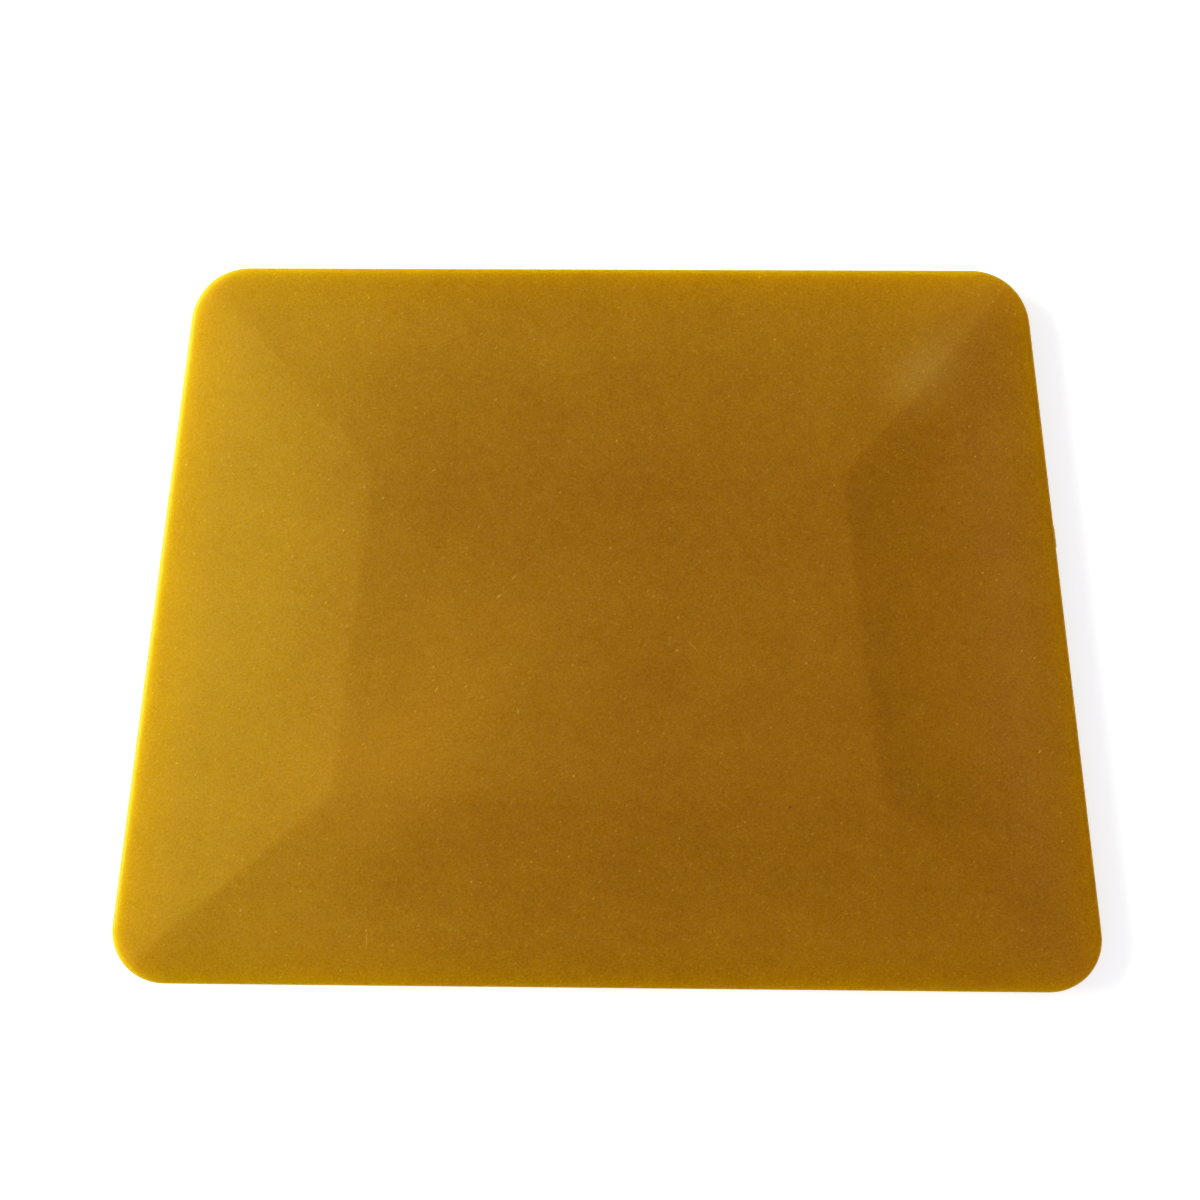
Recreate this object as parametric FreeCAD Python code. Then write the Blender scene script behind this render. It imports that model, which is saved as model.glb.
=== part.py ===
import FreeCAD
import Part

import math
import os

# Hard card squeegee: one solid plastic moulding, a trapezoid bevelled alike on both faces.
#
# Frame: X runs along the long working edge, Y from that edge (-Y) to the short edge (+Y), Z is up.
# The card lies on its lower flat panel, in the plane Z = 0. The origin is in that plane, under the
# middle of the card's outline. All sizes are in millimetres.

# ---- driving dimensions -------------------------------------------------------------------------

CARD_LENGTH = 100.0  # along the long working edge, over its rounded corners
CARD_DEPTH = 72.6  # from the long working edge to the short edge
SIDE_LEAN_DEG = 7.1  # each side edge leans inwards by this much towards the short edge
CARD_THICKNESS = 5.0  # over the two flat panels
RIM_THICKNESS = 1.8  # where the bevels end

LONG_CORNER_RADIUS = 5.3  # in plan, at both ends of the long edge
SHORT_CORNER_RADIUS = 6.0  # in plan, at both ends of the short edge

LONG_BEVEL_WIDTH = 19.4  # from the long edge to the flat panel
SHORT_BEVEL_WIDTH = 20.7  # from the short edge to the flat panel
SIDE_BEVEL_WIDTH = 20.5  # from a side edge to the flat panel, square to that edge

PANEL_RIDGE_RADIUS = 8.0  # blend where a bevel meets the flat panel
MITRE_RIDGE_RADIUS = 6.0  # blend where two bevels meet
RIM_RADIUS = 0.6  # round on the upper and the lower arris of the rim

GATE_LENGTH = 2.2  # trimmed stub of the moulding gate, along the +X side edge
GATE_HEIGHT = 0.9
GATE_PROUD = 0.08  # how far the stub stands out of the rim
GATE_CORNER_RADIUS = 0.07  # of the two upright arrises that stand out of the rim
GATE_Y = 9.6  # middle of the stub

NODE = "squeegee_card"
PARTS_FOLDER = "parts"

# ---- derived dimensions -------------------------------------------------------------------------

LEAN = math.radians(SIDE_LEAN_DEG)
HALF_DEPTH = CARD_DEPTH / 2
MID_Z = CARD_THICKNESS / 2
BEVEL_DROP = (CARD_THICKNESS - RIM_THICKNESS) / 2
# The rounded corner's outermost point lies this far inside the sharp corner.
CORNER_SETBACK = LONG_CORNER_RADIUS * (math.tan(LEAN) + 1 / math.cos(LEAN) - 1)
LONG_HALF = CARD_LENGTH / 2 + CORNER_SETBACK  # half of the long edge between sharp corners

SPARE = 5.0  # how far a cutting slab reaches past the card, before the outline trims it
REACH = 2 * CARD_LENGTH  # longer than any line across the card
LEVEL = 0.01  # a normal whose Z share is under this counts as level


def half_width(y):
    """Half of the card's width at y, before its corners are rounded."""
    return LONG_HALF - (y + HALF_DEPTH) * math.tan(LEAN)


def rounded_wire(corners, radii):
    """A closed wire round the corners, each one an arc of its radius, or sharp where that is 0."""
    count = len(corners)
    turns = []
    for i, (corner, radius) in enumerate(zip(corners, radii)):
        back = (corners[i - 1] - corner).normalize()
        ahead = (corners[(i + 1) % count] - corner).normalize()
        half_angle = back.getAngle(ahead) / 2
        tangent_length = radius / math.tan(half_angle)
        inwards = (back + ahead).normalize()
        start = corner + back * tangent_length
        middle = corner + inwards * (radius / math.sin(half_angle) - radius)
        end = corner + ahead * tangent_length
        turns.append((start, middle, end))
    edges = []
    for i, (start, middle, end) in enumerate(turns):
        next_start = turns[(i + 1) % count][0]
        if radii[i] > 0:
            edges.append(Part.Arc(start, middle, end).toShape())
        edges.append(Part.LineSegment(end, next_start).toShape())
    return Part.Wire(edges)


def both_faces(upper_corners, radii):
    """A section's upper corners and radii, followed by their mirror image in the lower half."""
    lower_corners = [FreeCAD.Vector(p.x, p.y, CARD_THICKNESS - p.z) for p in upper_corners]
    return upper_corners + lower_corners[::-1], radii + radii[::-1]


def bevel_height(distance, width):
    """Height of a bevel's upper face at a distance inside the card's edge."""
    return MID_Z + RIM_THICKNESS / 2 + BEVEL_DROP * distance / width


def end_bevels_slab():
    """A slab with the long edge's and the short edge's bevels, endless along X."""
    long_end = -HALF_DEPTH - SPARE
    short_end = HALF_DEPTH + SPARE
    upper = [
        FreeCAD.Vector(0, long_end, bevel_height(-SPARE, LONG_BEVEL_WIDTH)),
        FreeCAD.Vector(0, -HALF_DEPTH + LONG_BEVEL_WIDTH, CARD_THICKNESS),
        FreeCAD.Vector(0, HALF_DEPTH - SHORT_BEVEL_WIDTH, CARD_THICKNESS),
        FreeCAD.Vector(0, short_end, bevel_height(-SPARE, SHORT_BEVEL_WIDTH)),
    ]
    section = rounded_wire(*both_faces(upper, [0, PANEL_RIDGE_RADIUS, PANEL_RIDGE_RADIUS, 0]))
    section.translate(FreeCAD.Vector(-REACH / 2, 0, 0))
    return Part.Face(section).extrude(FreeCAD.Vector(REACH, 0, 0))


def side_bevel_slab(side):
    """A slab with one side edge's bevel, endless along that edge; side is 1 for +X, -1 for -X."""
    upper = [
        FreeCAD.Vector(side * SPARE, 0, bevel_height(-SPARE, SIDE_BEVEL_WIDTH)),
        FreeCAD.Vector(-side * SIDE_BEVEL_WIDTH, 0, CARD_THICKNESS),
        FreeCAD.Vector(-side * REACH, 0, CARD_THICKNESS),
    ]
    section = rounded_wire(*both_faces(upper, [0, PANEL_RIDGE_RADIUS, 0]))
    section.translate(FreeCAD.Vector(0, -REACH / 2, 0))
    slab = Part.Face(section).extrude(FreeCAD.Vector(0, REACH, 0))
    return place_on_side(slab, side, 0)


def place_on_side(shape, side, y):
    """Turns a shape from the Y axis to a side edge's lean, and moves it to that edge at y."""
    shape.rotate(FreeCAD.Vector(), FreeCAD.Vector(0, 0, 1), side * SIDE_LEAN_DEG)
    shape.translate(FreeCAD.Vector(side * half_width(y), y, 0))
    return shape


def outline_block():
    """The card's plan shape with its rounded corners, as a block taller than the card."""
    low_z = -SPARE
    long_half = half_width(-HALF_DEPTH)
    short_half = half_width(HALF_DEPTH)
    corners = [
        FreeCAD.Vector(-long_half, -HALF_DEPTH, low_z),
        FreeCAD.Vector(long_half, -HALF_DEPTH, low_z),
        FreeCAD.Vector(short_half, HALF_DEPTH, low_z),
        FreeCAD.Vector(-short_half, HALF_DEPTH, low_z),
    ]
    radii = [LONG_CORNER_RADIUS] * 2 + [SHORT_CORNER_RADIUS] * 2
    height = CARD_THICKNESS + 2 * SPARE
    return Part.Face(rounded_wire(corners, radii)).extrude(FreeCAD.Vector(0, 0, height))


def mitre_ridges(solid):
    """The eight edges that climb from the card's corners to the corners of its panels."""
    longer_than = SIDE_BEVEL_WIDTH
    steeper_than = BEVEL_DROP / 2
    return [
        edge
        for edge in solid.Edges
        if edge.Length > longer_than
        and abs(edge.Vertexes[-1].Z - edge.Vertexes[0].Z) > steeper_than
    ]


def rim_arrises(solid):
    """The edges where the upright rim meets the bevels."""
    walls = []
    for face in solid.Faces:
        u_low, u_high, v_low, v_high = face.ParameterRange
        normal = face.normalAt((u_low + u_high) / 2, (v_low + v_high) / 2)
        if abs(normal.z) < LEVEL:
            walls.append(face)
    wall_edges = [edge for wall in walls for edge in wall.Edges]
    return [
        edge
        for edge in wall_edges
        if sum(edge.isSame(other) for other in wall_edges) == 1
    ]


def gate_stub():
    """The trimmed stub of the moulding gate, half sunk in the rim of the +X side."""
    inner = -RIM_RADIUS
    low_z = MID_Z - GATE_HEIGHT / 2
    corners = [
        FreeCAD.Vector(inner, -GATE_LENGTH / 2, low_z),
        FreeCAD.Vector(GATE_PROUD, -GATE_LENGTH / 2, low_z),
        FreeCAD.Vector(GATE_PROUD, GATE_LENGTH / 2, low_z),
        FreeCAD.Vector(inner, GATE_LENGTH / 2, low_z),
    ]
    outline = rounded_wire(corners, [0, GATE_CORNER_RADIUS, GATE_CORNER_RADIUS, 0])
    block = Part.Face(outline).extrude(FreeCAD.Vector(0, 0, GATE_HEIGHT))
    return place_on_side(block, 1, GATE_Y)


def card():
    """The whole moulding as one solid."""
    blank = end_bevels_slab()
    for cutter in (side_bevel_slab(1), side_bevel_slab(-1), outline_block()):
        blank = blank.common(cutter).Solids[0]
    softened = blank.makeFillet(MITRE_RIDGE_RADIUS, mitre_ridges(blank)).Solids[0]
    rimmed = softened.makeFillet(RIM_RADIUS, rim_arrises(softened)).Solids[0]
    return rimmed.fuse(gate_stub()).Solids[0]


def main():
    os.makedirs(PARTS_FOLDER, exist_ok=True)
    shape = card()
    shape.exportStep(os.path.join(PARTS_FOLDER, NODE + ".step"))
    box = shape.optimalBoundingBox()
    print(NODE, "valid", shape.isValid(), "faces", len(shape.Faces), "mm3", round(shape.Volume))
    print("size", round(box.XLength, 3), round(box.YLength, 3), round(box.ZLength, 3))


main()
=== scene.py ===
import math

import bpy
import numpy as np
from mathutils import Euler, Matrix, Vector


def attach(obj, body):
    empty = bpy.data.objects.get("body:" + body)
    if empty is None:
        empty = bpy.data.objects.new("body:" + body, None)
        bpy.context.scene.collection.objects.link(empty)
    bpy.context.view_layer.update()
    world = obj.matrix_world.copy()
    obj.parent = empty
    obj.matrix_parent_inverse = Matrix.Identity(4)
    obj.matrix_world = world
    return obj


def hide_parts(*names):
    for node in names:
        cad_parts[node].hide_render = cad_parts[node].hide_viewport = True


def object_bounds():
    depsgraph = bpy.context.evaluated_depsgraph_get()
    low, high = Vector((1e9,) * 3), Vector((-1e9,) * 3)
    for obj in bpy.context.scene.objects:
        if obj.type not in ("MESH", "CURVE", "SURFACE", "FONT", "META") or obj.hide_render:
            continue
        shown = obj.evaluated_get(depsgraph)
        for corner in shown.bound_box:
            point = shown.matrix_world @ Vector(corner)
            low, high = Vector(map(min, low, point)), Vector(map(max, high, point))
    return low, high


# A hard card squeegee lying on a pale studio floor, seen from straight above.
#
# The CAD node squeegee_card holds the size. Here the same moulding is rebuilt as one fine quad mesh,
# with soft ridges, a round rim, a parting line and the trimmed gate, and it gets its plastic.

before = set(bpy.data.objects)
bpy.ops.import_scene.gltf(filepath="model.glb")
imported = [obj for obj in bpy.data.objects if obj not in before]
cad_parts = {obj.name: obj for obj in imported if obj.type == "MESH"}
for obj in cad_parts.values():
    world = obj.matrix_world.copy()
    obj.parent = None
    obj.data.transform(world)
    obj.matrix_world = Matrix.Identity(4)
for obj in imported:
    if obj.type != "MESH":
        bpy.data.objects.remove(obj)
cad_low, cad_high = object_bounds()

NODE = "squeegee_card"

# ---- sizes, in metres and radians ---------------------------------------------------------------

MM = 0.001
CARD_LENGTH = cad_high.x - cad_low.x
CARD_DEPTH = cad_high.y - cad_low.y
CARD_THICKNESS = cad_high.z - cad_low.z

SIDE_LEAN = math.radians(7.1)
RIM_THICKNESS = 1.8 * MM
RIM_RADIUS = 0.6 * MM
LONG_CORNER_RADIUS = 5.3 * MM
SHORT_CORNER_RADIUS = 6.0 * MM
CORNER_RADII = [LONG_CORNER_RADIUS] * 2 + [SHORT_CORNER_RADIUS] * 2  # counter-clockwise
PANEL_CORNER_RADIUS = 1.6 * MM  # of the mesh lines round the panel; the ridges there are sharp in plan
LONG_BEVEL_WIDTH = 19.4 * MM
SHORT_BEVEL_WIDTH = 20.7 * MM
SIDE_BEVEL_WIDTH = 20.5 * MM

PANEL_RIDGE_RADIUS = 9.0 * MM
MITRE_RIDGE_RADIUS = 7.0 * MM

PARTING_LINE_PROUD = 0.03 * MM
PARTING_LINE_WIDTH = 0.10 * MM
GATE_LENGTH = 2.2 * MM
GATE_HEIGHT = 0.9 * MM
GATE_PROUD = 0.08 * MM
GATE_Y = 9.6 * MM
GATE_BLEND = 0.25 * MM  # the gate's sides fall off over this distance

EDGE_NORMALS = (  # direction each edge faces, counter-clockwise from the long edge
    -math.pi / 2,
    SIDE_LEAN,
    math.pi / 2,
    math.pi - SIDE_LEAN,
)
EDGE_BEVEL_WIDTHS = (LONG_BEVEL_WIDTH, SIDE_BEVEL_WIDTH, SHORT_BEVEL_WIDTH, SIDE_BEVEL_WIDTH)

HALF_DEPTH = CARD_DEPTH / 2 - PARTING_LINE_PROUD
MID_Z = CARD_THICKNESS / 2
BEVEL_DROP = (CARD_THICKNESS - RIM_THICKNESS) / 2
CORNER_SETBACK = LONG_CORNER_RADIUS * (math.tan(SIDE_LEAN) + 1 / math.cos(SIDE_LEAN) - 1)
LONG_HALF = CARD_LENGTH / 2 + CORNER_SETBACK - PARTING_LINE_PROUD / math.cos(SIDE_LEAN)

# ---- the mesh's grid ----------------------------------------------------------------------------

HALF_CORNER_CELLS = 10  # from the middle of a corner to its straight edge
LONG_CELLS = 84  # along the straight part of the long and of the short edge
SIDE_CELLS = 76  # along the straight part of each side edge
RIM_CELLS = 9  # round the rim's upper arris
BEVEL_CELLS = 40  # from the rim to just inside the panel
WALL_CELLS = 10  # up the rim's upright part
PANEL_MARGIN = 0.04  # the bevel's rings run past the ridge by this share of the bevel
CORNER_GRADING = 1.25  # above 1, a corner's cells are finer at its middle
GRADING_STEPS = 2001  # points at which a grid's density is worked out
SLOPE_PROBE = 0.05 * MM  # distance over which the bevel's slope is measured at the rim

# Where the cells are closer together: place from 0 to 1, width and strength.
EDGE_ENDS_FINE = [(0.0, 0.04, 2.0), (1.0, 0.04, 2.0)]
GATE_FINE = [((GATE_Y + HALF_DEPTH) / CARD_DEPTH, 0.025, 9.0)]
PARTING_LINE_FINE = [(1.0, 0.3, 2.0)]
BEVEL_ENDS_FINE = [(1 / (1.0 + PANEL_MARGIN), 0.03, 6.0), (0.0, 0.03, 2.0)]


def half_width(y, inset=0.0):
    """Half of the card's width at y, its sides moved in by inset."""
    return LONG_HALF - (y + HALF_DEPTH) * math.tan(SIDE_LEAN) - inset / math.cos(SIDE_LEAN)


def soft_min(a, b, blend):
    """The lower of two heights, rounded off where they differ by less than blend."""
    overlap = np.maximum(blend - np.abs(a - b), 0.0)
    return np.minimum(a, b) - overlap**2 / (4 * blend)


def bevel_heights(x, y):
    """Height above the rim's middle plane of the four bevels, each taken as an endless plane."""
    side = math.cos(SIDE_LEAN)
    distances = [
        (y + HALF_DEPTH, LONG_BEVEL_WIDTH),
        ((half_width(y) - x) * side, SIDE_BEVEL_WIDTH),
        (HALF_DEPTH - y, SHORT_BEVEL_WIDTH),
        ((half_width(y) + x) * side, SIDE_BEVEL_WIDTH),
    ]
    return [RIM_THICKNESS / 2 + BEVEL_DROP * d / width for d, width in distances]


def face_height(x, y):
    """Height of the card's upper face above the rim's middle plane."""
    slope = BEVEL_DROP / SIDE_BEVEL_WIDTH
    mitre_blend = MITRE_RIDGE_RADIUS * slope**2
    panel_blend = PANEL_RIDGE_RADIUS * slope**2 / 2
    long_bevel, right_bevel, short_bevel, left_bevel = bevel_heights(x, y)
    ends = np.minimum(long_bevel, short_bevel)
    sides = np.minimum(left_bevel, right_bevel)
    bevels = soft_min(ends, sides, mitre_blend)
    return soft_min(bevels, np.full_like(bevels, MID_Z), panel_blend)


# ---- rings round the card -----------------------------------------------------------------------


def graded(cells, hot_spots):
    """Positions from 0 to 1, closer together near each hot spot (place, width, strength)."""
    fine = np.linspace(0.0, 1.0, GRADING_STEPS)
    density = np.ones_like(fine)
    for place, width, strength in hot_spots:
        density += strength * np.exp(-(((fine - place) / width) ** 2))
    total = np.concatenate([[0.0], np.cumsum((density[1:] + density[:-1]) / 2)])
    return np.interp(np.linspace(0.0, 1.0, cells + 1), total / total[-1], fine)


def ring(insets, radii):
    """Points and outward normals of a rounded trapezoid, in the same order for every ring.

    insets are of the long, right, short and left edges; radii are of the corners at the start
    of each of those edges."""
    low_y = -HALF_DEPTH + insets[0]
    high_y = HALF_DEPTH - insets[2]
    corners = [
        Vector((-half_width(low_y, insets[3]), low_y)),
        Vector((half_width(low_y, insets[1]), low_y)),
        Vector((half_width(high_y, insets[1]), high_y)),
        Vector((-half_width(high_y, insets[3]), high_y)),
    ]
    along = [
        graded(LONG_CELLS, EDGE_ENDS_FINE),
        graded(SIDE_CELLS, EDGE_ENDS_FINE + GATE_FINE),
        graded(LONG_CELLS, EDGE_ENDS_FINE),
        graded(SIDE_CELLS, EDGE_ENDS_FINE),
    ]
    bend = np.linspace(0.0, 1.0, HALF_CORNER_CELLS + 1) ** CORNER_GRADING
    points = []
    directions = []
    for i, normal in enumerate(EDGE_NORMALS):
        before = EDGE_NORMALS[i - 1]
        after = EDGE_NORMALS[(i + 1) % 4]
        turn_in = ((normal - before) % (2 * math.pi)) / 2
        turn_out = ((after - normal) % (2 * math.pi)) / 2
        start = rounding_centre(corners[i], before, normal, radii[i])
        end = rounding_centre(corners[(i + 1) % 4], normal, after, radii[(i + 1) % 4])
        outward = np.array([math.cos(normal), math.sin(normal)])
        for share in bend[:-1]:
            angle = normal - turn_in * (1 - share)
            direction = np.array([math.cos(angle), math.sin(angle)])
            points.append(start + radii[i] * direction)
            directions.append(direction)
        first = start + radii[i] * outward
        last = end + radii[(i + 1) % 4] * outward
        for share in along[i]:
            points.append(first + (last - first) * share)
            directions.append(outward)
        for share in bend[::-1][1:-1]:
            angle = normal + turn_out * (1 - share)
            direction = np.array([math.cos(angle), math.sin(angle)])
            points.append(end + radii[(i + 1) % 4] * direction)
            directions.append(direction)
    return np.array(points), np.array(directions)


def rounding_centre(corner, normal_before, normal_after, radius):
    """Centre of the arc of that radius that touches both edges at a corner."""
    before = np.array([math.cos(normal_before), math.sin(normal_before)])
    after = np.array([math.cos(normal_after), math.sin(normal_after)])
    return np.array(corner) - radius * (before + after) / (1 + before @ after)


def bevel_ring(share):
    """The ring at a share of the way from the rim's round (0) to the panel's edge (1)."""
    insets = [RIM_RADIUS + (width - RIM_RADIUS) * share for width in EDGE_BEVEL_WIDTHS]
    starts = [radius - RIM_RADIUS for radius in CORNER_RADII]
    radii = [start + (PANEL_CORNER_RADIUS - start) * min(share, 1.0) for start in starts]
    return ring(insets, radii)[0]


def gate_mask(points, z):
    """1 on the trimmed gate and 0 away from it."""
    side = math.cos(SIDE_LEAN)
    along = np.abs(points[:, 1] - GATE_Y) / side - GATE_LENGTH / 2
    up = np.abs(z) - GATE_HEIGHT / 2
    away = np.maximum(along, up) / GATE_BLEND
    step = np.clip(0.5 - away, 0.0, 1.0)
    return np.where(points[:, 0] > 0, step * step * (3 - 2 * step), 0.0)


def rim_rows(outline, outward):
    """Rows of points from the bevel's edge round the upper arris and down to the middle plane."""
    inner = outline - outward * RIM_RADIUS
    inside = inner - outward * SLOPE_PROBE
    height = face_height(inner[:, 0], inner[:, 1])
    slope = (face_height(inside[:, 0], inside[:, 1]) - height) / SLOPE_PROBE
    centre = height - RIM_RADIUS * np.sqrt(1 + slope**2)
    tilt = np.arctan(slope)
    rows = []
    for share in np.linspace(0.0, 1.0, RIM_CELLS + 1)[1:]:
        angle = tilt + (math.pi / 2 - tilt) * share
        inset = RIM_RADIUS * (1 - np.sin(angle))
        rows.append((inset, centre + RIM_RADIUS * np.cos(angle)))
    for share in graded(WALL_CELLS // 2, PARTING_LINE_FINE)[1:]:
        z = centre * (1 - share)
        bulge = PARTING_LINE_PROUD * np.exp(-((z / (PARTING_LINE_WIDTH / 2)) ** 2))
        rows.append((-bulge, z))
    placed = []
    for inset, z in rows:
        mask = gate_mask(outline, z)
        proud = np.where(mask > 0, inset + (-GATE_PROUD - inset) * mask, inset)
        placed.append(np.column_stack([outline - outward * proud[:, None], z]))
    return placed


def panel_grid(boundary):
    """Fills a closed ring of points with a grid: rows from the long edge's side to the short's."""
    long_count = LONG_CELLS + 2 * HALF_CORNER_CELLS
    side_count = SIDE_CELLS + 2 * HALF_CORNER_CELLS
    low = boundary[: long_count + 1]
    right = boundary[long_count : long_count + side_count + 1]
    high = boundary[long_count + side_count : 2 * long_count + side_count + 1][::-1]
    left = np.vstack([boundary[2 * long_count + side_count :], boundary[:1]])[::-1]
    u = (low[:, 0] - low[0, 0]) / (low[-1, 0] - low[0, 0])
    v = (left[:, 1] - left[0, 1]) / (left[-1, 1] - left[0, 1])
    rows = []
    for j in range(side_count + 1):
        across = left[j] * (1 - u)[:, None] + right[j] * u[:, None]
        up = low * (1 - v[j]) + high * v[j]
        corners = (
            (low[0] * (1 - v[j]) + high[0] * v[j]) * (1 - u)[:, None]
            + (low[-1] * (1 - v[j]) + high[-1] * v[j]) * u[:, None]
        )
        rows.append(across + up - corners)
    return np.array(rows)


def raised(points):
    """Plan points lifted onto the card's upper face."""
    return np.column_stack([points, face_height(points[:, 0], points[:, 1])])


def build_card():
    """The whole moulding as one closed quad mesh, its lower half the mirror of its upper half."""
    outline, outward = ring([0.0] * 4, CORNER_RADII)
    count = len(outline)
    shares = graded(BEVEL_CELLS, BEVEL_ENDS_FINE) * (1.0 + PANEL_MARGIN)
    bevel = [raised(bevel_ring(share)) for share in shares[::-1][:-1]]
    start = raised(outline - outward * RIM_RADIUS)
    upper = bevel + [start] + rim_rows(outline, outward)
    lower = [row * [1, 1, -1] for row in upper[::-1][1:]]
    rows = upper + lower

    vertices = list(np.vstack(rows))
    faces = []
    for r in range(len(rows) - 1):
        here = r * count
        for i in range(count):
            j = (i + 1) % count
            faces.append((here + i, here + count + i, here + count + j, here + j))
    for top, base in ((True, 0), (False, (len(rows) - 1) * count)):
        cap_faces(vertices, faces, panel_grid(bevel[0][:, :2]), base, top)

    points = np.array(vertices)
    points[:, 2] += MID_Z
    mesh = bpy.data.meshes.new("squeegee_card_moulding")
    mesh.from_pydata(points.tolist(), [], faces)
    mesh.validate()
    mesh.shade_smooth()
    card = bpy.data.objects.new("squeegee_card_moulding", mesh)
    bpy.context.scene.collection.objects.link(card)
    return card


def cap_faces(vertices, faces, grid, base, top):
    """Adds the flat panel inside a ring: its grid's border is the ring, whose first index is base."""
    high, wide = grid.shape[:2]
    index = np.full((high, wide), -1)
    border = [(0, i) for i in range(wide - 1)]
    border += [(j, wide - 1) for j in range(high - 1)]
    border += [(high - 1, i) for i in range(wide - 1, 0, -1)]
    border += [(j, 0) for j in range(high - 1, 0, -1)]
    for i, place in enumerate(border):
        index[place] = base + i
    for j in range(1, high - 1):
        lifted = raised(grid[j, 1:-1])
        if not top:
            lifted[:, 2] *= -1
        index[j, 1:-1] = np.arange(len(vertices), len(vertices) + wide - 2)
        vertices.extend(lifted)
    for j in range(high - 1):
        for i in range(wide - 1):
            quad = (index[j, i], index[j, i + 1], index[j + 1, i + 1], index[j + 1, i])
            faces.append(tuple(int(k) for k in (quad if top else quad[::-1])))


# ---- plastic ------------------------------------------------------------------------------------

# Places and half sizes of patches and marks are in millimetres in plan, turns are in degrees.

# The panel's amber; its blue is raised a little as painted sheen of the grained face, which the low
# specular level leaves out.
PANEL_COLOUR = (0.271, 0.144, 0.031)
PAINTED_RIM_GLOW = (  # distance inside the rim, and how much lighter the colour is painted there: a painted glow for light shining through the thinner plastic; the blue falls where the polished rim loses the painted sheen
    (10.0 * MM, (1.06, 1.08, 1.0)),
    (5.0 * MM, (1.10, 1.14, 1.0)),
    (2.0 * MM, (1.13, 1.21, 0.8)),
    (0.8 * MM, (1.11, 1.25, 0.55)),
    (0.2 * MM, (1.09, 1.24, 0.5)),
)

# Hues: how a pattern's gain is shared by red, green and blue.
EVEN = (1.0, 1.0, 1.0)
YELLOW = (0.0, 1.0, 0.0)
BLUE = (0.0, 0.0, 1.0)
# painted glints: a pale whitening for tiny glints off the grain
PAINTED_GLINT = (0.38, 0.64, 4.3)
# painted sheen: a pale whitening that stands for a soft reflection on the grained face
PAINTED_SHEEN = (0.38, 0.64, 2.7)
WARM = (0.8, 1.0, 2.4)

# Soft patches, mostly painted light and shade with some of the plastic's own mottling: lighter and
# yellower on the left, towards the lamp, darker and bluer on the shaded right, darker along both ends,
# and a lighter diagonal band across the lower left as painted sheen.
MOTTLING_AND_PAINTED_LIGHT = (  # centre, half sizes and turn of a soft patch, its gain and hue
    ((-21.5, -12.0), (25.0, 13.0), 42.0, 0.14, EVEN),
    ((-20.0, 4.0), (8.0, 9.0), 0.0, 0.04, EVEN),
    ((-4.0, 20.0), (38.0, 22.0), 0.0, -0.09, EVEN),
    ((2.0, -26.0), (46.0, 16.0), 0.0, -0.09, EVEN),
    ((-2.0, -37.0), (60.0, 8.0), 0.0, -0.14, EVEN),
    ((-40.0, -36.0), (12.0, 9.0), 0.0, -0.10, EVEN),
    ((39.0, -36.0), (15.0, 9.0), 0.0, -0.07, EVEN),
    ((-10.0, 37.0), (42.0, 10.0), 0.0, -0.09, EVEN),
    ((-43.0, 0.0), (4.5, 60.0), -7.0, 0.05, EVEN),
    ((47.5, 0.0), (7.0, 60.0), 7.0, -0.09, EVEN),
    ((5.0, -5.0), (10.0, 20.0), 0.0, -0.05, EVEN),
    ((37.0, -5.0), (11.0, 34.0), 7.0, 0.04, EVEN),
    ((-37.0, 2.0), (19.0, 60.0), -7.0, 0.09, EVEN),
    ((-42.0, 28.0), (10.0, 16.0), 0.0, 0.08, EVEN),
    ((36.0, 34.0), (12.0, 7.0), 0.0, 0.08, EVEN),
    # painted light and shade: yellower on the left, towards the lamp, and bluer on the shaded right
    ((-38.0, 0.0), (22.0, 90.0), -7.0, 0.075, YELLOW),
    ((43.0, 0.0), (12.0, 70.0), 7.0, 0.5, BLUE),
    # a spot of painted sheen by the upper right mitre
    ((31.5, 26.0), (8.0, 5.0), 45.0, 0.27, PAINTED_SHEEN),
)
MARKS = (  # the same for small marks: nicks, hairs, scratches and flow marks by the gate
    ((-9.3, 5.1), (0.55, 0.12), 40.0, 0.60, WARM),
    ((-10.8, 3.2), (0.45, 0.14), 42.0, 0.75, WARM),
    ((-8.8, -8.3), (0.45, 0.13), 100.0, 0.65, WARM),
    ((-17.0, -6.2), (0.40, 0.12), 60.0, 0.60, EVEN),
    ((-16.9, 8.1), (0.90, 0.10), 4.0, -0.30, EVEN),
    ((-14.2, 3.7), (0.20, 0.16), 0.0, 0.50, WARM),
    ((-4.2, 8.1), (0.25, 0.12), 50.0, 0.50, WARM),
    ((4.7, 3.3), (0.35, 0.10), 30.0, 0.50, WARM),
    ((7.2, 1.2), (0.22, 0.16), 80.0, 0.80, WARM),
    ((7.1, -2.1), (0.30, 0.14), 20.0, 0.80, WARM),
    ((8.6, -1.6), (1.30, 0.09), -43.0, 0.45, WARM),
    ((18.5, -17.7), (0.22, 0.18), 0.0, -0.45, EVEN),
    ((43.5, -12.0), (0.35, 0.15), 60.0, 0.70, WARM),
    ((-24.0, -31.5), (1.30, 0.11), 88.0, 0.50, WARM),
    ((42.3, 9.8), (0.90, 0.22), 60.0, 0.12, EVEN),
    ((43.2, 9.0), (0.80, 0.50), 70.0, -0.07, EVEN),
)
FLECKS = (  # mean spacing, share of cells with a fleck, half width, stretch and turn, gain and hue
    (0.60 * MM, 0.45, 0.08 * MM, 3.2, 48.0, 0.50, WARM),
    (0.80 * MM, 0.35, 0.08 * MM, 2.6, -30.0, 0.45, WARM),
    (1.60 * MM, 0.14, 0.14 * MM, 1.5, 60.0, 0.75, WARM),
)
FLECK_FREE_EDGE = 0.6 * MM  # marks and flecks fade out over this distance at the rim
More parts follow.
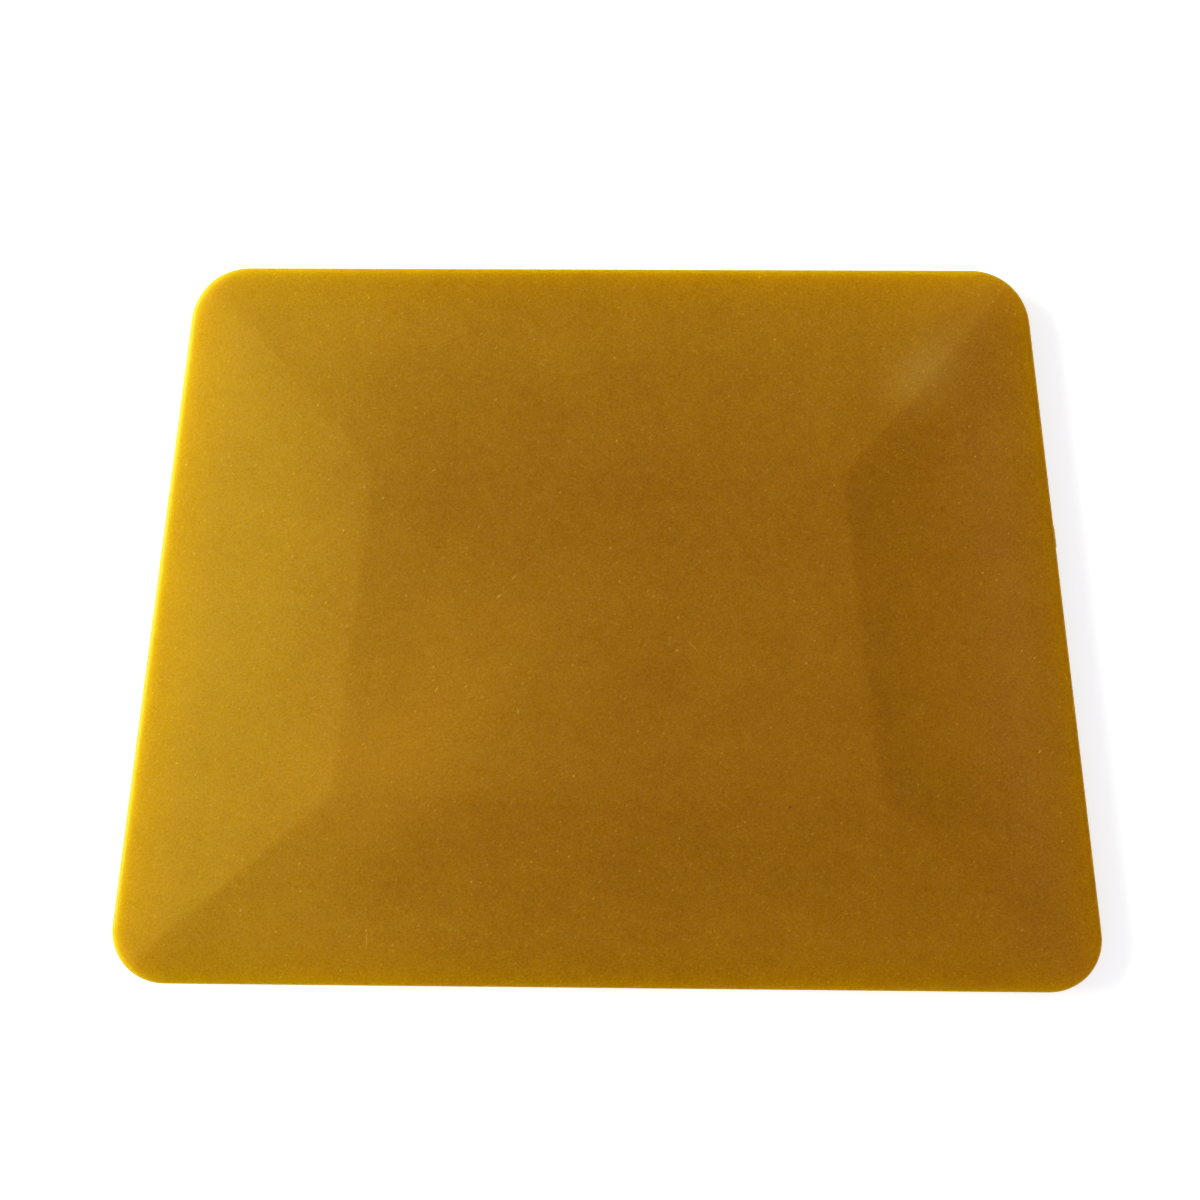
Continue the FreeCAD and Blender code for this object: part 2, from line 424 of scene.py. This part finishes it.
GRAINS = (  # size and detail of a noise pattern, its gain and hue
    (0.18 * MM, 1.0, 0.44, EVEN),
    # a speckle of painted glints off the grain
    (0.23 * MM, 1.0, 0.34, PAINTED_GLINT),
    (1.1 * MM, 2.0, 0.12, EVEN),
    (6.0 * MM, 2.0, 0.12, EVEN),
)
NOISE_STEP = 100.0  # each noise is moved along X by this many of its own sizes

BUMP_SIZE = 0.18 * MM
BUMP_HEIGHT = 0.01 * MM
BUMP_STRENGTH = 0.5
BUMP_DETAIL = 1.0

RIM_ROUGHNESS = 0.3
FACE_ROUGHNESS = 0.78
POLISHED_EDGE = 2.5 * MM  # the polish of the rim fades into the grained face over this distance
SPECULAR_LEVEL = 0.12
GLOW_COLOURS = (1.0, 0.8, 0.15)  # how far red, green and blue light spread, as shares of the depth
GLOW_DEPTH = 5.5 * MM


def add_node(tree, kind, links=(), **settings):
    """A node of that kind: settings are its properties, links join sockets to its inputs."""
    node = tree.nodes.new(kind)
    for name, value in settings.items():
        setattr(node, name, value)
    for name, source in links:
        if hasattr(source, "links"):
            tree.links.new(source, node.inputs[name])
        else:
            node.inputs[name].default_value = source
    return node


def math_node(tree, operation, a, b=0.0):
    """The result of that operation on a and b."""
    node = add_node(tree, "ShaderNodeMath", [(0, a), (1, b)], operation=operation)
    return node.outputs[0]


def vector_node(tree, operation, *values):
    """The vector result of that operation on the values."""
    node = add_node(tree, "ShaderNodeVectorMath", list(enumerate(values)), operation=operation)
    return node.outputs["Vector"]


def half_thickness(tree, place):
    """The distance above or below the card's middle plane, as a share of half its thickness."""
    split = add_node(tree, "ShaderNodeSeparateXYZ", [("Vector", place)])
    from_middle = math_node(tree, "SUBTRACT", split.outputs["Z"], MID_Z)
    return math_node(tree, "DIVIDE", math_node(tree, "ABSOLUTE", from_middle), MID_Z)


def bevel_share(distance):
    """Half of the card's thickness at a distance inside the rim, as a share of half the panel's."""
    return (RIM_THICKNESS / 2 + BEVEL_DROP * distance / SIDE_BEVEL_WIDTH) / MID_Z


def soft_patch(tree, place, centre, half_size, turn):
    """1 in the middle of an ellipse in plan, falling softly to 0 at its edge."""
    sizes = [
        ("Vector", place),
        ("Location", (centre[0] * MM, centre[1] * MM, MID_Z)),
        ("Rotation", (0.0, 0.0, math.radians(turn))),
        ("Scale", (half_size[0] * MM, half_size[1] * MM, 1.0)),
    ]
    mapping = add_node(tree, "ShaderNodeMapping", sizes, vector_type="TEXTURE")
    cone = add_node(
        tree,
        "ShaderNodeTexGradient",
        [("Vector", mapping.outputs["Vector"])],
        gradient_type="SPHERICAL",
    )
    soft = add_node(
        tree,
        "ShaderNodeMapRange",
        [("Value", cone.outputs["Fac"])],
        interpolation_type="SMOOTHSTEP",
    )
    return soft.outputs["Result"]


def noise(tree, place, size, detail):
    """Noise about 0 with cells of that size; each size has a pattern of its own."""
    moved = vector_node(tree, "ADD", place, (size * NOISE_STEP, 0.0, 0.0))
    texture = add_node(
        tree,
        "ShaderNodeTexNoise",
        [("Vector", moved), ("Scale", 1.0 / size), ("Detail", detail)],
    )
    return math_node(tree, "SUBTRACT", texture.outputs["Fac"], 0.5)


def flecks(tree, place, spacing, share, half_width, stretch, turn):
    """Small light flecks scattered in plan: 1 in the middle of each, at random strengths."""
    sizes = [
        ("Vector", place),
        ("Rotation", (0.0, 0.0, math.radians(turn))),
        ("Scale", (stretch, 1.0, 1.0)),
    ]
    mapping = add_node(tree, "ShaderNodeMapping", sizes, vector_type="TEXTURE")
    cells = add_node(
        tree,
        "ShaderNodeTexVoronoi",
        [("Vector", mapping.outputs["Vector"]), ("Scale", 1.0 / spacing)],
        voronoi_dimensions="2D",
    )
    chance = add_node(tree, "ShaderNodeSeparateColor", [("Color", cells.outputs["Color"])])
    chosen = add_node(
        tree,
        "ShaderNodeMapRange",
        [("Value", chance.outputs["Red"]), ("From Min", 1.0 - share), ("From Max", 1.0)],
    )
    spot = add_node(
        tree,
        "ShaderNodeMapRange",
        [
            ("Value", cells.outputs["Distance"]),
            ("From Min", half_width / spacing),
            ("From Max", 0.0),
        ],
        interpolation_type="SMOOTHSTEP",
    )
    return math_node(tree, "MULTIPLY", spot.outputs["Result"], chosen.outputs["Result"])


def weighted_sum(tree, start, parts):
    """start plus each pattern times its gain, shared among the colours by its hue."""
    total = start
    for pattern, gain, hue in parts:
        change = [gain * share for share in hue]
        total = vector_node(tree, "MULTIPLY_ADD", pattern, change, total)
    return total


def shade(tree, place, thickness):
    """The colour at each place, about 1: the pigment's grain, mottling, marks and flecks, with painted
    light, shade and sheen in the patches and painted glints in a pale speckle.

    Marks and flecks are drawn in plan, so they are kept off the upright rim."""
    broad = [(noise(tree, place, *shape), gain, hue) for *shape, gain, hue in GRAINS]
    broad += [(soft_patch(tree, place, *shape), gain, hue) for *shape, gain, hue in MOTTLING_AND_PAINTED_LIGHT]
    small = [(soft_patch(tree, place, *shape), gain, hue) for *shape, gain, hue in MARKS]
    small += [(flecks(tree, place, *shape), gain, hue) for *shape, gain, hue in FLECKS]
    face_limits = [
        ("Value", thickness),
        ("From Min", bevel_share(0.0)),
        ("From Max", bevel_share(FLECK_FREE_EDGE)),
    ]
    on_face = add_node(tree, "ShaderNodeMapRange", face_limits)
    details = weighted_sum(tree, (0.0, 0.0, 0.0), small)
    return vector_node(
        tree, "MULTIPLY_ADD", details, on_face.outputs["Result"], weighted_sum(tree, EVEN, broad)
    )


def tint_with_painted_rim_glow(tree, thickness):
    """The pigment's mean colour, painted lighter and yellower where the card is thinner: a painted
    glow for light shining through the thin rim.
    """
    tint = add_node(tree, "ShaderNodeValToRGB", [("Fac", thickness)])
    stops = tint.color_ramp.elements
    stops[1].position = 1.0
    stops[1].color = (*PANEL_COLOUR, 1.0)
    for i, (distance, gains) in enumerate(PAINTED_RIM_GLOW):
        last = i == len(PAINTED_RIM_GLOW) - 1
        stop = stops[0] if last else stops.new(bevel_share(distance))
        stop.position = bevel_share(distance)
        stop.color = (*(c * g for c, g in zip(PANEL_COLOUR, gains)), 1.0)
    return tint.outputs["Color"]


def satin_roughness(tree, thickness):
    """Polished at the rim, and finely grained from a little way inside it."""
    limits = [
        ("Value", thickness),
        ("From Min", bevel_share(0.0)),
        ("From Max", bevel_share(POLISHED_EDGE)),
        ("To Min", RIM_ROUGHNESS),
        ("To Max", FACE_ROUGHNESS),
    ]
    return add_node(tree, "ShaderNodeMapRange", limits).outputs["Result"]


def grain_bump(tree, place):
    """The fine grain that the mould leaves on the surface."""
    height = noise(tree, place, BUMP_SIZE, BUMP_DETAIL)
    sizes = [("Strength", BUMP_STRENGTH), ("Distance", BUMP_HEIGHT), ("Height", height)]
    return add_node(tree, "ShaderNodeBump", sizes).outputs["Normal"]


def card_plastic():
    """Amber satin plastic that light spreads through, so that the thin rim glows; more of that glow,
    and patches of light, shade and sheen, are painted into its colour.
    """
    material = bpy.data.materials.new("card_plastic")
    material.use_nodes = True
    tree = material.node_tree
    shader = tree.nodes["Principled BSDF"]
    place = tree.nodes.new("ShaderNodeTexCoord").outputs["Object"]
    thickness = half_thickness(tree, place)
    # the tint holds a painted glow at the thin rim
    tint = tint_with_painted_rim_glow(tree, thickness)
    colour = vector_node(tree, "MULTIPLY", tint, shade(tree, place, thickness))
    tree.links.new(colour, shader.inputs["Base Color"])
    tree.links.new(satin_roughness(tree, thickness), shader.inputs["Roughness"])
    tree.links.new(grain_bump(tree, place), shader.inputs["Normal"])
    shader.inputs["Specular IOR Level"].default_value = SPECULAR_LEVEL
    shader.inputs["Subsurface Weight"].default_value = 1.0
    shader.inputs["Subsurface Radius"].default_value = GLOW_COLOURS
    shader.inputs["Subsurface Scale"].default_value = GLOW_DEPTH
    return material


# ---- studio -------------------------------------------------------------------------------------

FLOOR_HALF_SIZE = 1.5
FLOOR_GREY = 0.9
FLOOR_ROUGHNESS = 0.9
FLOOR_GLOW = 0.5  # evens out the floor, so that it reads as plain white
KEY_COLOUR = (0.98, 1.07, 0.8)
SKY_COLOUR = (1.0, 0.98, 1.1)
SKY_STRENGTH = 0.45

TONE_POWER = 0.6
TONE_TOE = 0.87
TONE_LEVELS = (0.01, 0.03, 0.06, 0.1, 0.2, 0.3, 0.45, 0.7)
ALL_COLOURS_CURVE = 3  # the curve that acts on red, green and blue together

SENSOR_WIDTH = 36.0  # in millimetres, as is the lens
LENS = 89.0
NEAREST_SEEN = 0.01
FARTHEST_SEEN = 20.0
CARD_TILT = math.radians(-1.55)  # of the card as the camera sees it, about the picture's upright
CARD_TURN = math.radians(-0.38)  # and in the picture's plane
CARD_PLACE = Vector((0.7, -2.9, -299.7)) * MM  # of the card's middle, from the camera


def studio_floor():
    """A pale floor under the card."""
    mesh = bpy.data.meshes.new("floor")
    signs = ((-1, -1), (1, -1), (1, 1), (-1, 1))
    corners = [(x * FLOOR_HALF_SIZE, y * FLOOR_HALF_SIZE, 0) for x, y in signs]
    mesh.from_pydata(corners, [], [(0, 1, 2, 3)])
    floor = bpy.data.objects.new("floor", mesh)
    bpy.context.scene.collection.objects.link(floor)
    material = bpy.data.materials.new("floor_white")
    material.use_nodes = True
    shader = material.node_tree.nodes["Principled BSDF"]
    shader.inputs["Base Color"].default_value = (FLOOR_GREY, FLOOR_GREY, FLOOR_GREY, 1.0)
    shader.inputs["Roughness"].default_value = FLOOR_ROUGHNESS
    shader.inputs["Specular IOR Level"].default_value = 0.0
    shader.inputs["Emission Color"].default_value = (1.0, 1.0, 1.0, 1.0)
    shader.inputs["Emission Strength"].default_value = FLOOR_GLOW
    mesh.materials.append(material)
    return floor


def area_light(name, azimuth, elevation, distance, size, power, colour):
    """A soft box that faces the card. Azimuth is measured from +X towards +Y, in degrees."""
    light = bpy.data.lights.new(name, "AREA")
    light.shape = "SQUARE"
    light.size = size
    light.energy = power
    light.color = colour
    lamp = bpy.data.objects.new(name, light)
    bpy.context.scene.collection.objects.link(lamp)
    around = math.radians(azimuth)
    above = math.radians(elevation)
    direction = Vector(
        (math.cos(around) * math.cos(above), math.sin(around) * math.cos(above), math.sin(above))
    )
    lamp.location = direction * distance
    lamp.rotation_euler = direction.to_track_quat("Z", "Y").to_euler()


def world_light(strength, colour):
    """An even light from all round."""
    world = bpy.data.worlds.new("studio")
    world.use_nodes = True
    background = world.node_tree.nodes["Background"]
    background.inputs["Color"].default_value = (*colour, 1.0)
    background.inputs["Strength"].default_value = strength
    bpy.context.scene.world = world


def toned(level):
    """A camera's tone curve for a linear level from 0 to 1: darks go deeper, so hues gain strength."""
    return level ** (TONE_POWER * (1 + TONE_TOE / 2 * abs(math.log(level))))


def camera_tone():
    """Sets the tone curve, for all colours together."""
    view = bpy.context.scene.view_settings
    view.view_transform = "Standard"
    view.use_curve_mapping = True
    curve = view.curve_mapping.curves[ALL_COLOURS_CURVE]
    for level in TONE_LEVELS:
        curve.points.new(level, toned(level))
    view.curve_mapping.update()


def camera():
    """An 89 mm lens 0.3 m above the card, a little off square to it."""
    data = bpy.data.cameras.new("camera")
    data.sensor_width = SENSOR_WIDTH
    data.lens = LENS
    data.clip_start = NEAREST_SEEN
    data.clip_end = FARTHEST_SEEN
    cam = bpy.data.objects.new("camera", data)
    bpy.context.scene.collection.objects.link(cam)
    card_in_view = Euler((0.0, CARD_TILT, CARD_TURN)).to_matrix()
    cam.rotation_euler = card_in_view.inverted().to_euler()
    cam.location = card_in_view.inverted() @ -CARD_PLACE + Vector((0, 0, MID_Z))
    bpy.context.scene.camera = cam


card = build_card()
card.data.materials.append(card_plastic())
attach(card, "root")
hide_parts(NODE)

studio_floor()
area_light(
    "key", azimuth=165, elevation=27, distance=0.34, size=0.3, power=2.6, colour=KEY_COLOUR
)
world_light(SKY_STRENGTH, SKY_COLOUR)
camera()
camera_tone()
